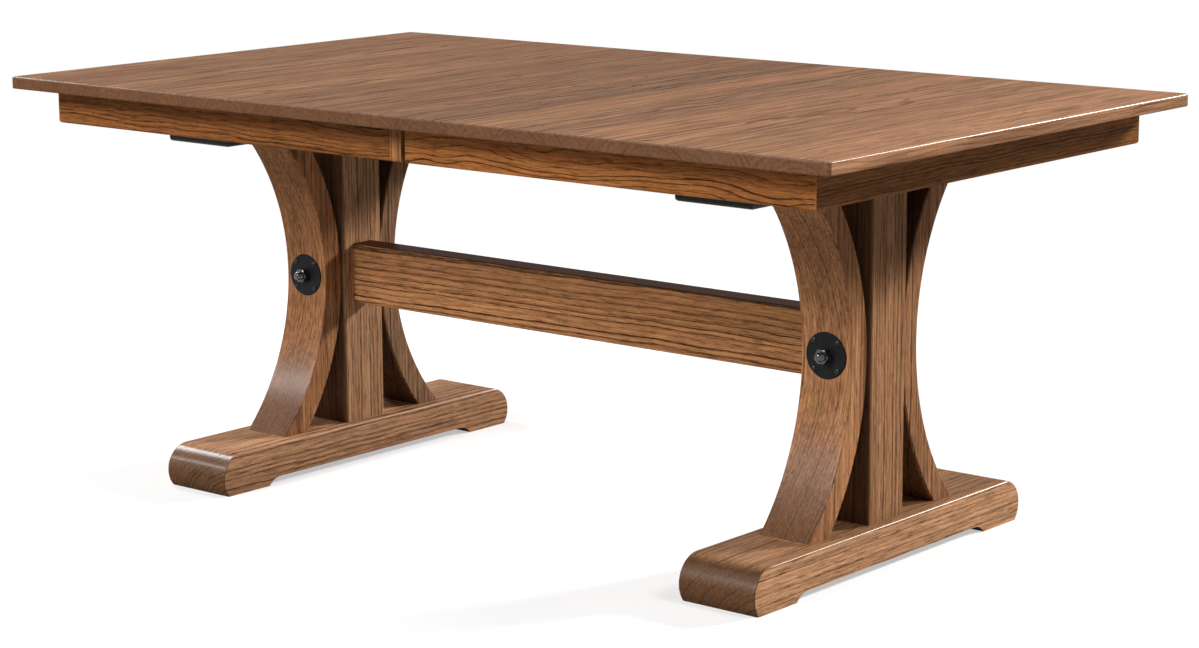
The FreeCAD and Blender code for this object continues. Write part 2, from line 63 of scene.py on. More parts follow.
# Stain colours, as light and dark bands of the grain, some with painted light and shade in them as marked
panel_tones = ((0.252, 0.126, 0.065), (0.048, 0.021, 0.011))
panel_end_tone = (0.125, 0.056, 0.028)
left_apron_tones = ((0.268, 0.101, 0.031), (0.026, 0.008, 0.003))
right_apron_tones = ((0.370, 0.137, 0.041), (0.026, 0.008, 0.003))
end_apron_tones = ((0.275, 0.112, 0.040), (0.050, 0.020, 0.008))
block_tones = ((0.370, 0.162, 0.062), (0.080, 0.032, 0.013))
# Painted light and shade: the left post, legs and foot and the right foot are made lighter or darker than
# their like for how the lamps reach them
left_post_painted_light_tones = ((0.448, 0.237, 0.125), (0.058, 0.024, 0.010))
right_post_tones = ((0.375, 0.187, 0.092), (0.058, 0.024, 0.010))
left_front_leg_painted_light_tones = ((0.370, 0.165, 0.072), (0.050, 0.021, 0.009))
right_front_leg_tones = ((0.430, 0.200, 0.090), (0.055, 0.023, 0.010))
left_rear_leg_painted_light_tones = ((0.262, 0.144, 0.080), (0.045, 0.019, 0.009))
right_rear_leg_tones = ((0.335, 0.160, 0.076), (0.055, 0.023, 0.010))
left_foot_painted_light_tones = ((0.445, 0.235, 0.125), (0.058, 0.024, 0.010))
right_foot_painted_light_tones = ((0.590, 0.312, 0.162), (0.070, 0.030, 0.013))
stretcher_tones = ((0.462, 0.212, 0.088), (0.036, 0.013, 0.005))
maple_tones = ((0.62, 0.44, 0.26), (0.44, 0.28, 0.15))

# Way of the grain, and the turn that lays it along X
grain_ways = {"X": (1, 0, 0), "Y": (0, 1, 0), "Z": (0, 0, 1)}
grain_turns = {"X": Euler((0, 0, 0)), "Y": Euler((0, 0, -math.pi / 2)), "Z": Euler((0, math.pi / 2, 0))}
seed_step = 3.7

# Patterns of the grain, as waves per metre along it and across it
long_bends = (1.3, 5.0, 5.0)
short_bends = (4.5, 13.0, 13.0)
ripples = (10.0, 48.0, 48.0)
tremors = (60.0, 220.0, 220.0)
dashes = (30.0, 300.0, 300.0)
flecks = (14.0, 210.0, 210.0)
fibres = (3.0, 120.0, 120.0)
clouds = (1.8, 22.0, 22.0)
tinges = (6.0, 60.0, 60.0)
pore_runs = (30.0, 320.0, 320.0)
fine_pits = (110.0, 1500.0, 1500.0)
wear_and_highlight_patches = (14.0, 60.0, 60.0)
piece_fineness = (1.0, 1.0, 1.0)
panel_fineness = (0.32, 0.6, 0.6)

# How far they bend the rings, and how much they darken or cut into the wood
short_bend_share = 0.6
ripple_reach = 0.005
tremor_reach = 0.0014
uneven_waves = 70.0
uneven_reach = 1.2
fibre_share = 0.25
tinge_share = 0.07
pore_share = 0.66
pit_share = 0.5
line_depth = -0.35
pore_depth = -0.7
grain_bump = 0.5
grain_depth = 0.0004

# Stain and painted light: how dark the ends are, the painted shade on tops and inner faces, and how light the
# edges are, as wear and painted highlight
end_share = 0.66
left_foot_end_share = 0.75
right_foot_end_share = 0.83
panel_end_share = 0.72
# Painted shade: how dark the stretcher's top, the right foot's top and the inner faces between legs and posts
# are made
stretcher_painted_shade_share = 0.95
foot_top_painted_shade_share = 0.50
inner_painted_shade_share = 0.62
# Wear with painted highlight along the edges: the bevel radius that finds them, how far and how much lighter
# they are painted
edge_round = 0.0025
edge_wear_and_highlight_share = 0.75
wear_and_highlight_lift = 1.25

# Coat of varnish by how far a face looks up, as slope and weight: thin on upright faces, full on the rounds
# and rubbed thin on flat tops
plain_coat = 0.10
coat_roughness = 0.26
coat_by_slope = (
    (0.0, 0.05),
    (0.15, 0.05),
    (0.35, 0.50),
    (0.65, 0.50),
    (0.75, 0.65),
    (0.90, 0.65),
    (0.98, plain_coat),
)

# Black paints: colour, roughness, specks per metre and gloss
cleat_paint = ((0.008, 0.008, 0.008), 0.45, 400.0, 0.15)
plate_paint = ((0.0075, 0.0075, 0.008), 0.38, 1500.0, 0.08)
bolt_oxide = ((0.010, 0.010, 0.011), 0.18, 1800.0, 0.9)
screw_oxide = ((0.010, 0.010, 0.011), 0.30, 1800.0, 0.25)
speck_lift = 1.7

# Steels: colour, roughness and scratches per metre
zinc_plate = ((0.62, 0.60, 0.53), 0.35, (900.0, 900.0, 900.0))
milled_steel = ((0.55, 0.55, 0.56), 0.35, (30.0, 900.0, 900.0))
turned_steel = ((0.60, 0.60, 0.61), 0.30, (900.0, 900.0, 60.0))
scratch_shade = 0.8
nylon_tones = ((0.78, 0.75, 0.67), (0.70, 0.67, 0.59))
nylon_clouds = (120.0, 120.0, 120.0)

# Fasteners
merge_distance = 1e-6
wide_share = 0.75
dome_share = 0.45
recess_depth_share = 0.9
recess_arm_share = 1.15
recess_slot_share = 0.28
head_corners = 28
shank_corners = 16
shank_share = 0.5
tip_share = 0.1
sharp_angle = math.radians(35.0)
thread_length = 0.030
thread_pitch = 0.0023
thread_depth = 0.0011
thread_steps = 6
rod_corners = 32
rod_round = 0.005

# Floor and lamps: name, place, what it is aimed at, size across and watts
floor_reach = 60.0
floor_near = 1.3
floor_far = 3.2
floor_matt = 0.55
floor_lift = 0.48
floor_dull = 0.42
world_strength = 0.05
lamps = (
    ("back right key", (5.4, 12.0, 5.9), (0.2, 0.0, 0.45), 1.9, 2900.0),
    ("right fill", (4.6, 0.4, 4.9), (0.2, 0.0, 0.45), 2.0, 135.0),
    ("left sheen", (-3.6, 0.2, 2.4), (-0.5, -0.3, 0.1), 1.0, 60.0),
    ("front left", (-3.4, -2.4, 2.0), (-0.4, -0.2, 0.3), 0.5, 17.0),
    ("front fill", (-1.2, -4.9, 3.4), (0.1, 0.0, 0.4), 2.0, 290.0),
)

# Boards of the two panels: width, share of the width at which the heart lies, depth of the heart as a share,
# tone, warmth and strength of the lines
left_boards = (
    (0.112, 0.45, 0.55, 1.00, 0.00, 0.75),
    (0.134, 1.20, 0.70, 0.94, 0.01, 0.80),
    (0.098, 0.30, 0.45, 1.05, 0.00, 0.65),
    (0.121, -0.10, 0.80, 0.98, 0.02, 0.75),
    (0.142, 0.60, 0.50, 1.03, 0.00, 0.70),
    (0.087, 1.30, 0.60, 0.90, 0.02, 0.80),
    (0.118, 0.40, 0.70, 0.96, -0.01, 0.75),
    (0.102, -0.20, 0.55, 0.90, 0.00, 0.85),
)
# Painted light: the right panel's board tones rise towards its right end, and its last thin board is a
# painted highlight along the right end edge
right_painted_light_boards = (
    (0.049, 0.20, 0.60, 1.00, 0.00, 0.85),
    (0.118, 0.55, 0.40, 0.82, -0.04, 1.00),
    (0.104, -0.30, 0.75, 1.22, 0.02, 0.60),
    (0.139, 0.40, 0.45, 1.05, -0.02, 0.95),
    (0.108, 1.25, 0.70, 1.28, 0.01, 0.75),
    (0.131, 0.50, 0.50, 1.22, 0.01, 0.90),
    (0.121, -0.20, 0.80, 1.34, 0.00, 0.65),
    (0.132, 0.65, 0.60, 1.44, 0.00, 0.70),
    (0.012, 0.50, 0.60, 1.70, 0.00, 0.50),
)
panel_ring = 0.0090
panel_wave = 0.040
heart_low = 0.25
heart_span = 0.5
deepest_heart = 0.12
tree_length = 9.0
board_shift_share = 0.37


class Bench:
    """Adds nodes to one tree and hands back their outputs."""

    def __init__(self, tree):
        self.tree = tree

    def node(self, kind, inputs=None, **settings):
        made = self.tree.nodes.new(kind)
        for name, value in settings.items():
            setattr(made, name, value)
        for place, value in (inputs or {}).items():
            self.feed(value, made.inputs[place])
        return made

    def feed(self, value, socket):
        if isinstance(value, bpy.types.NodeSocket):
            self.tree.links.new(value, socket)
        else:
            socket.default_value = value

    def math(self, operation, *values):
        return self.node("ShaderNodeMath", dict(enumerate(values)), operation=operation).outputs[0]

    def vector(self, operation, *values):
        made = self.node("ShaderNodeVectorMath", dict(enumerate(values)), operation=operation)
        return made.outputs["Value" if operation in ("LENGTH", "DOT_PRODUCT") else "Vector"]

    def stretched(self, place, stretch):
        return self.vector("MULTIPLY", place, stretch)

    def noise(self, place, stretch, detail=2.0, roughness=0.5):
        stretched = self.stretched(place, stretch)
        inputs = {"Vector": stretched, "Scale": 1.0, "Detail": detail, "Roughness": roughness}
        return self.node("ShaderNodeTexNoise", inputs)

    def drift(self, place, stretch, reach):
        middle = self.vector("SUBTRACT", self.noise(place, stretch).outputs["Color"], (0.5, 0.5, 0.5))
        return self.scaled(middle, reach)

    def scaled(self, vector, amount):
        made = self.node("ShaderNodeVectorMath", {0: vector, "Scale": amount}, operation="SCALE")
        return made.outputs["Vector"]

    def between(self, value, low, high, low_out=0.0, high_out=1.0):
        inputs = {"Value": value, "From Min": low, "From Max": high, "To Min": low_out, "To Max": high_out}
        return self.node("ShaderNodeMapRange", inputs, interpolation_type="SMOOTHSTEP").outputs[0]

    def mix(self, share, first, second, blend="MIX"):
        made = self.node("ShaderNodeMix", {0: share, 6: first, 7: second}, data_type="RGBA", blend_type=blend)
        return made.outputs[2]

    def ramp(self, value, stops, interpolation="LINEAR"):
        made = self.node("ShaderNodeValToRGB", {0: value})
        made.color_ramp.interpolation = interpolation
        elements = made.color_ramp.elements
        elements.remove(elements[-1])
        elements[0].color = stops[0][1]
        for place, colour in stops[1:]:
            elements.new(place).color = colour
        return made


def opaque(colour):
    return (*colour, 1.0)


def grey(level):
    return (level, level, level, 1.0)


def oak_grain():
    """The grain of every piece of wood: it runs along X, and the heart of the tree is the X axis."""
    tree = bpy.data.node_groups.new("oak grain", "ShaderNodeTree")
    for name, kind in (
        ("Place", "NodeSocketVector"),
        ("Facing", "NodeSocketVector"),
        ("Ring", "NodeSocketFloat"),
        ("Wave", "NodeSocketFloat"),
        ("Line", "NodeSocketFloat"),
        ("Fineness", "NodeSocketVector"),
        ("Light", "NodeSocketColor"),
        ("Dark", "NodeSocketColor"),
    ):
        tree.interface.new_socket(name, in_out="INPUT", socket_type=kind)
    results = ("Color", "NodeSocketColor"), ("Height", "NodeSocketFloat"), ("Roughness", "NodeSocketFloat")
    for name, kind in results:
        tree.interface.new_socket(name, in_out="OUTPUT", socket_type=kind)
    bench = Bench(tree)
    given = bench.node("NodeGroupInput").outputs
    place = given["Place"]

    short_wave = bench.math("MULTIPLY", given["Wave"], short_bend_share)
    bends = (
        (long_bends, given["Wave"]),
        (short_bends, short_wave),
        (ripples, ripple_reach),
        (tremors, tremor_reach),
    )
    bent = place
    for pattern, reach in bends:
        bent = bench.vector("ADD", bent, bench.drift(place, pattern, reach))
    outward = bench.stretched(bent, (0.0, 1.0, 1.0))
    distance = bench.vector("LENGTH", outward)
    across_rings = bench.vector("NORMALIZE", outward)
    flat_on = bench.math("ABSOLUTE", bench.vector("DOT_PRODUCT", across_rings, given["Facing"]))
    stretched = bench.math("MULTIPLY", distance, uneven_waves)
    uneven = bench.node("ShaderNodeTexNoise", {"W": stretched}, noise_dimensions="1D").outputs[0]
    rings = bench.math("DIVIDE", distance, given["Ring"])
    rings = bench.math("ADD", rings, bench.math("MULTIPLY", uneven, uneven_reach))
    year = bench.node("ShaderNodeTexWhiteNoise", {"W": bench.math("ROUND", rings)}, noise_dimensions="1D")
    year_strength = bench.between(year.outputs["Value"], 0.0, 1.0, 0.7, 1.0)
    from_edge = bench.math("PINGPONG", rings, 0.5)
    early = bench.math("MULTIPLY", bench.between(from_edge, 0.04, 0.16, 1.0, 0.0), year_strength)
    early = bench.math("MULTIPLY", early, bench.between(flat_on, 0.90, 0.995, 1.0, 0.5))

    fine = bench.vector("MULTIPLY", place, given["Fineness"])
    dash = bench.noise(fine, dashes, 2.0).outputs[0]
    fleck = bench.noise(fine, flecks, 3.0, 0.65).outputs[0]
    fibre = bench.noise(fine, fibres, 4.0, 0.6).outputs[0]
    cloud = bench.noise(fine, clouds, 2.0).outputs[0]
    tinge = bench.noise(fine, tinges, 2.0).outputs["Color"]
    pores = bench.between(bench.noise(fine, pore_runs, 1.0).outputs[0], 0.53, 0.66)
    pores = bench.math("MULTIPLY", pores, bench.between(early, 0.0, 0.8, 0.55, 1.0))
    pits = bench.between(bench.noise(place, fine_pits, 1.0).outputs[0], 0.54, 0.62)
    pits = bench.math("MULTIPLY", pits, bench.between(early, 0.0, 0.6, 0.45, 0.80))

    lines = bench.math("MULTIPLY", early, bench.between(dash, 0.32, 0.52, 0.65, 1.0))
    ragged = bench.math("MULTIPLY", lines, given["Line"])
    ground = bench.mix(bench.between(fibre, 0.32, 0.72, 0.0, fibre_share), given["Light"], given["Dark"])
    ground = bench.mix(tinge_share, ground, tinge, "OVERLAY")
    colour = bench.mix(bench.math("MULTIPLY", pores, pore_share), ground, given["Dark"])
    colour = bench.mix(ragged, colour, given["Dark"])
    colour = bench.mix(bench.math("MULTIPLY", pits, pit_share), colour, given["Dark"])
    shade = bench.between(cloud, 0.25, 0.75, 0.86, 1.14)
    shade = bench.math("MULTIPLY", shade, bench.between(fleck, 0.3, 0.7, 0.77, 1.25))
    colour = bench.scaled(colour, shade)

    height = bench.math("MULTIPLY", ragged, line_depth)
    height = bench.math("ADD", height, bench.math("MULTIPLY", pores, pore_depth))
    height = bench.math("SUBTRACT", height, pits)
    roughness = bench.between(cloud, 0.2, 0.8, 0.40, 0.50)
    roughness = bench.math("ADD", roughness, bench.math("MULTIPLY", pores, 0.25))
    result = bench.node("NodeGroupOutput")
    bench.feed(colour, result.inputs["Color"])
    bench.feed(height, result.inputs["Height"])
    bench.feed(roughness, result.inputs["Roughness"])
    return tree


def new_material(name):
    material = bpy.data.materials.new(name)
    material.use_nodes = True
    material.node_tree.nodes.clear()
    return material, Bench(material.node_tree)


def surface(bench, **inputs):
    named = {name.replace("_", " "): value for name, value in inputs.items()}
    shader = bench.node("ShaderNodeBsdfPrincipled", named)
    result = bench.node("ShaderNodeOutputMaterial")
    bench.feed(shader.outputs[0], result.inputs["Surface"])
    return shader


grain_tree = oak_grain()


def turned_place(bench, grain, heart):
    """Object coordinates turned so that the grain runs along X, with the heart of the tree at zero."""
    coordinates = bench.node("ShaderNodeTexCoord")
    turn = grain_turns[grain]
    shift = -(turn.to_matrix() @ Vector(heart))
    inputs = {"Vector": coordinates.outputs["Object"], "Location": shift, "Rotation": turn}
    place = bench.node("ShaderNodeMapping", inputs).outputs[0]
    inputs = {"Vector": coordinates.outputs["Normal"], "Rotation": turn}
    facing = bench.node("ShaderNodeMapping", inputs, vector_type="VECTOR").outputs[0]
    return coordinates, place, facing


def edge_wear_and_painted_highlight(bench, place):
    """How much lighter the edges are made, as wear and painted highlight: along the edges of a piece, in
    patches.
    """
    rounded = bench.node("ShaderNodeBevel", {"Radius": edge_round}, samples=4).outputs[0]
    flat = bench.node("ShaderNodeNewGeometry").outputs["True Normal"]
    turned_off = bench.math("SUBTRACT", 1.0, bench.vector("DOT_PRODUCT", rounded, flat))
    patches = bench.noise(place, wear_and_highlight_patches, 2.0).outputs[0]
    patchy = bench.between(patches, 0.35, 0.6, 0.35, 1.0)
    return bench.math("MULTIPLY", bench.between(turned_off, 0.01, 0.14, 0.0, edge_wear_and_highlight_share), patchy)


def finish_oak(bench, turned, cut, end, top_share=0.0, inner=(), tint=None, wear_and_highlight=False):
    """The grain, darker on the ends, with painted shade on the top and on inner faces, under a coat of
    varnish.
    """
    coordinates, place, facing = turned
    grain, (light, dark), ring, wave, line, fineness = cut
    inputs = {"Place": place, "Facing": facing, "Ring": ring, "Wave": wave, "Line": line}
    inputs.update(Fineness=fineness, Light=opaque(light), Dark=opaque(dark))
    group = bench.node("ShaderNodeGroup", node_tree=grain_tree)
    for name, value in inputs.items():
        bench.feed(value, group.inputs[name])
    colour = group.outputs["Color"]
    if tint is not None:
        colour = bench.mix(1.0, colour, tint, "MULTIPLY")
    normal = coordinates.outputs["Normal"]
    facing_end = bench.vector("DOT_PRODUCT", normal, grain_ways[grain])
    if grain != "Z":
        facing_end = bench.math("ABSOLUTE", facing_end)
    end_tone, dark_share = end
    colour = bench.mix(bench.between(facing_end, 0.20, 0.65, 0.0, dark_share), colour, opaque(end_tone))
    facing_up = bench.vector("DOT_PRODUCT", normal, (0, 0, 1))
    # Painted shade: faces that look up are darkened towards the dark tone
    if top_share:
        colour = bench.mix(bench.between(facing_up, 0.3, 0.8, 0.0, top_share), colour, opaque(dark))
    # Painted shade: inner faces that look along the given ways are darkened towards the dark tone
    for way in inner:
        painted_shade_in = bench.between(bench.vector("DOT_PRODUCT", normal, way), 0.2, 0.6, 0.0, inner_painted_shade_share)
        colour = bench.mix(painted_shade_in, colour, opaque(dark))
    # Wear and painted highlight: edges lightened towards a lighter tone, in patches
    if wear_and_highlight:
        colour = bench.mix(edge_wear_and_painted_highlight(bench, place), colour, opaque([wear_and_highlight_lift * part for part in light]))
    coat = bench.ramp(facing_up, [(slope, grey(weight)) for slope, weight in coat_by_slope]).outputs[0]
    relief = {"Strength": grain_bump, "Distance": grain_depth, "Height": group.outputs["Height"]}
    bump = bench.node("ShaderNodeBump", relief)
    shader = surface(
        bench,
        Base_Color=colour,
        Roughness=group.outputs["Roughness"],
        Normal=bump.outputs[0],
        Specular_IOR_Level=0.0,
        Coat_Weight=plain_coat,
        Coat_Roughness=coat_roughness,
    )
    bench.feed(coat, shader.inputs["Coat Weight"])


def oak(name, grain, heart, tones, ring, wave, line, dark_share, top_share=0.0, inner=()):
    """One solid piece of wood."""
    material, bench = new_material(name)
    turned = turned_place(bench, grain, heart)
    cut = grain, tones, ring, wave, line, piece_fineness
    finish_oak(bench, turned, cut, (tones[1], dark_share), top_share, inner, wear_and_highlight=True)
    return material


def board_stops(boards):
    """Ramp stops that give each board of a panel its own cut from the tree and its own tone."""
    total = sum(board[0] for board in boards)
    edge = 0.0
    cuts, tints = [], []
    for number, (width, heart_share, depth_share, tone, warmth, line) in enumerate(boards):
        heart = (edge + width * heart_share) / total
        shift = (number * board_shift_share) % 1.0
        cuts.append((edge / total, (heart_low + heart_span * heart, depth_share, shift, line)))
        tints.append((edge / total, opaque((tone * (1 + warmth) / 2, tone / 2, tone * (1 - warmth) / 2))))
        edge += width
    return cuts, tints


def oak_boards(name, node, boards):
    """A panel glued up from boards that lie along Y, each cut from another part of the tree."""
    material, bench = new_material(name)
    low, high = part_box(node)
    cuts, tints = board_stops(boards)
    coordinates, place, facing = turned_place(bench, "Y", (0, 0, high.z))
    across = bench.node("ShaderNodeSeparateXYZ", {0: coordinates.outputs["Object"]}).outputs["X"]
    span = {"From Min": low.x, "From Max": high.x}
    share = bench.node("ShaderNodeMapRange", {"Value": across, **span}).outputs[0]
    board = bench.ramp(share, cuts, "CONSTANT").outputs
    tint = bench.scaled(bench.ramp(share, tints, "CONSTANT").outputs[0], 2.0)
    parts = bench.node("ShaderNodeSeparateColor", {0: board["Color"]}).outputs
    ends = {"From Min": heart_low, "From Max": heart_low + heart_span, "To Min": low.x, "To Max": high.x}
    heart_x = bench.node("ShaderNodeMapRange", {"Value": parts[0], **ends}, clamp=False).outputs[0]
    depth = bench.math("MULTIPLY", parts[1], deepest_heart)
    shift = bench.math("MULTIPLY", parts[2], tree_length)
    moved = bench.node("ShaderNodeCombineXYZ", {0: shift, 1: heart_x, 2: depth}).outputs[0]
    turned = coordinates, bench.vector("ADD", place, moved), facing
    cut = "Y", panel_tones, panel_ring, panel_wave, board["Alpha"], panel_fineness
    finish_oak(bench, turned, cut, (panel_end_tone, panel_end_share), tint=tint)
    return material


def black_paint(name, colour, roughness, grain_size, gloss):
    material, bench = new_material(name)
    coordinates = bench.node("ShaderNodeTexCoord").outputs["Object"]
    speck = bench.noise(coordinates, (grain_size,) * 3, 3.0).outputs[0]
    lifted = opaque([speck_lift * part for part in colour])
    shade = bench.mix(bench.between(speck, 0.3, 0.7), opaque(colour), lifted)
    rough = bench.between(speck, 0.3, 0.7, roughness - 0.05, roughness + 0.08)
    bump = bench.node("ShaderNodeBump", {"Strength": 0.25, "Distance": 0.0001, "Height": speck})
    surface(bench, Base_Color=shade, Roughness=rough, Normal=bump.outputs[0], Specular_IOR_Level=gloss)
    return material


def steel(name, colour, roughness, stretch):
    material, bench = new_material(name)
    coordinates = bench.node("ShaderNodeTexCoord").outputs["Object"]
    scratch = bench.noise(coordinates, stretch, 3.0).outputs[0]
    dulled = opaque([scratch_shade * part for part in colour])
    shade = bench.mix(bench.between(scratch, 0.3, 0.7), opaque(colour), dulled)
    rough = bench.between(scratch, 0.3, 0.7, roughness - 0.08, roughness + 0.08)
    bump = bench.node("ShaderNodeBump", {"Strength": 0.2, "Distance": 0.00005, "Height": scratch})
    surface(bench, Base_Color=shade, Roughness=rough, Normal=bump.outputs[0], Metallic=1.0)
    return material


def nylon(name):
    material, bench = new_material(name)
    coordinates = bench.node("ShaderNodeTexCoord").outputs["Object"]
    cloud = bench.noise(coordinates, nylon_clouds, 3.0).outputs[0]
    light, dark = nylon_tones
    shade = bench.mix(bench.between(cloud, 0.3, 0.7), opaque(light), opaque(dark))
    rough = bench.between(cloud, 0.3, 0.7, 0.42, 0.55)
    bump = bench.node("ShaderNodeBump", {"Strength": 0.2, "Distance": 0.0001, "Height": cloud})
    surface(bench, Base_Color=shade, Roughness=rough, Normal=bump.outputs[0])
    return material


def dress(node, material):
    for slot in nodes[node].material_slots:
        slot.material = material


def middle(node):
    low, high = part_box(node)
    return (low + high) / 2


def heart_of(node, offset, number):
    """The heart of the tree for one piece: an offset from its middle, moved along the grain by its number."""
    return middle(node) + Vector(offset) + Vector([seed_step * number * (part == 0.0) for part in offset])


# Cut of each piece: ending of its name, way of the grain, heart of the tree from its middle, tones, ring
# width, wave and strength of the lines, then how dark its ends are and, where they differ from the rest, how
# dark the painted shade on its top is and the ways that its inner faces with painted shade look
# Inner faces with painted shade: both faces of the posts, the front legs' rear faces and the rear legs' front
# faces
to_rear = (0, 1, 0)
to_front = (0, -1, 0)
painted_shade_between = end_share, 0.0, (to_rear, to_front)
painted_shade_rear = end_share, 0.0, (to_rear,)
painted_shade_front = end_share, 0.0, (to_front,)
# Painted shade on the tops of the stretcher and of the right foot
painted_shade_top = end_share, stretcher_painted_shade_share
painted_shade_foot_top = right_foot_end_share, foot_top_painted_shade_share
maple_cut = maple_tones, 0.003, 0.015, 0.3, end_share
wood_cuts = (
    ("left_front_apron", "X", (0.0, 0.045, 0.050), left_apron_tones, 0.0062, 0.036, 1.0, end_share),
    ("right_front_apron", "X", (0.0, 0.045, 0.056), right_apron_tones, 0.0074, 0.055, 1.0, end_share),
    ("rear_apron", "X", (0.0, -0.045, 0.050), right_apron_tones, 0.0066, 0.036, 1.0, end_share),
    ("end_apron", "Y", (-0.08, 0.0, 0.10), end_apron_tones, 0.0045, 0.012, 0.8, end_share),
    ("end_block", "Z", (0.03, 0.06, 0.0), block_tones, 0.0045, 0.010, 0.8, end_share),
    ("left_post", "Z", (0.14, 0.10, 0.0), left_post_painted_light_tones, 0.0064, 0.008, 0.8, *painted_shade_between),
    ("right_post", "Z", (0.14, 0.10, 0.0), right_post_tones, 0.0064, 0.008, 0.8, *painted_shade_between),
    ("left_front_leg", "Z", (0.20, -0.07, 0.0), left_front_leg_painted_light_tones, 0.0066, 0.008, 0.75, *painted_shade_rear),
    ("right_front_leg", "Z", (0.20, -0.07, 0.0), right_front_leg_tones, 0.0066, 0.008, 0.75, *painted_shade_rear),
    ("left_rear_leg", "Z", (0.20, 0.08, 0.0), left_rear_leg_painted_light_tones, 0.0055, 0.008, 0.9, *painted_shade_front),
    ("right_rear_leg", "Z", (0.20, 0.08, 0.0), right_rear_leg_tones, 0.0055, 0.008, 0.9, *painted_shade_front),
    ("left_foot", "Y", (0.15, 0.0, -0.17), left_foot_painted_light_tones, 0.0088, 0.012, 0.95, left_foot_end_share),
    ("right_foot", "Y", (0.15, 0.0, -0.17), right_foot_painted_light_tones, 0.0074, 0.010, 0.72, *painted_shade_foot_top),
    ("stretcher", "X", (0.0, 0.05, 0.12), stretcher_tones, 0.0096, 0.014, 1.0, *painted_shade_top),
    ("fixed_rail", "X", (0.0, 0.1, 0.03), *maple_cut),
    ("slide", "X", (0.0, 0.1, 0.03), *maple_cut),
    ("pinion_bridge", "Y", (0.1, 0.0, 0.03), *maple_cut),
    ("corner_block", "X", (0.0, 0.1, 0.03), *maple_cut),
    ("rack_hanger", "X", (0.0, 0.1, 0.03), *maple_cut),
)

number = 0
for ending, grain, offset, *cut in wood_cuts:
    for node in sorted(nodes):
        if node.endswith(ending):
            number += 1
            dress(node, oak(node + " wood", grain, heart_of(node, offset, number), *cut))

dress("left_top_panel", oak_boards("left panel oak", "left_top_panel", left_boards))
dress("right_top_panel", oak_boards("right panel oak with painted light", "right_top_panel", right_painted_light_boards))

finishes = {
    "painted_cleat": black_paint("cleat black paint", *cleat_paint),
    "plate_black": black_paint("plate black paint", *plate_paint),
    "bolt_black": black_paint("bolt black oxide", *bolt_oxide),
    "screw_black": black_paint("screw black oxide", *screw_oxide),
    "screw_zinc": steel("zinc plate", *zinc_plate),
    "rack_steel": steel("milled steel", *milled_steel),
    "pin_steel": steel("turned steel", *turned_steel),
    "gear_nylon": nylon("gear nylon"),
}
for node, slot in slot_of.items():
    if slot in finishes:
        dress(node, finishes[slot])


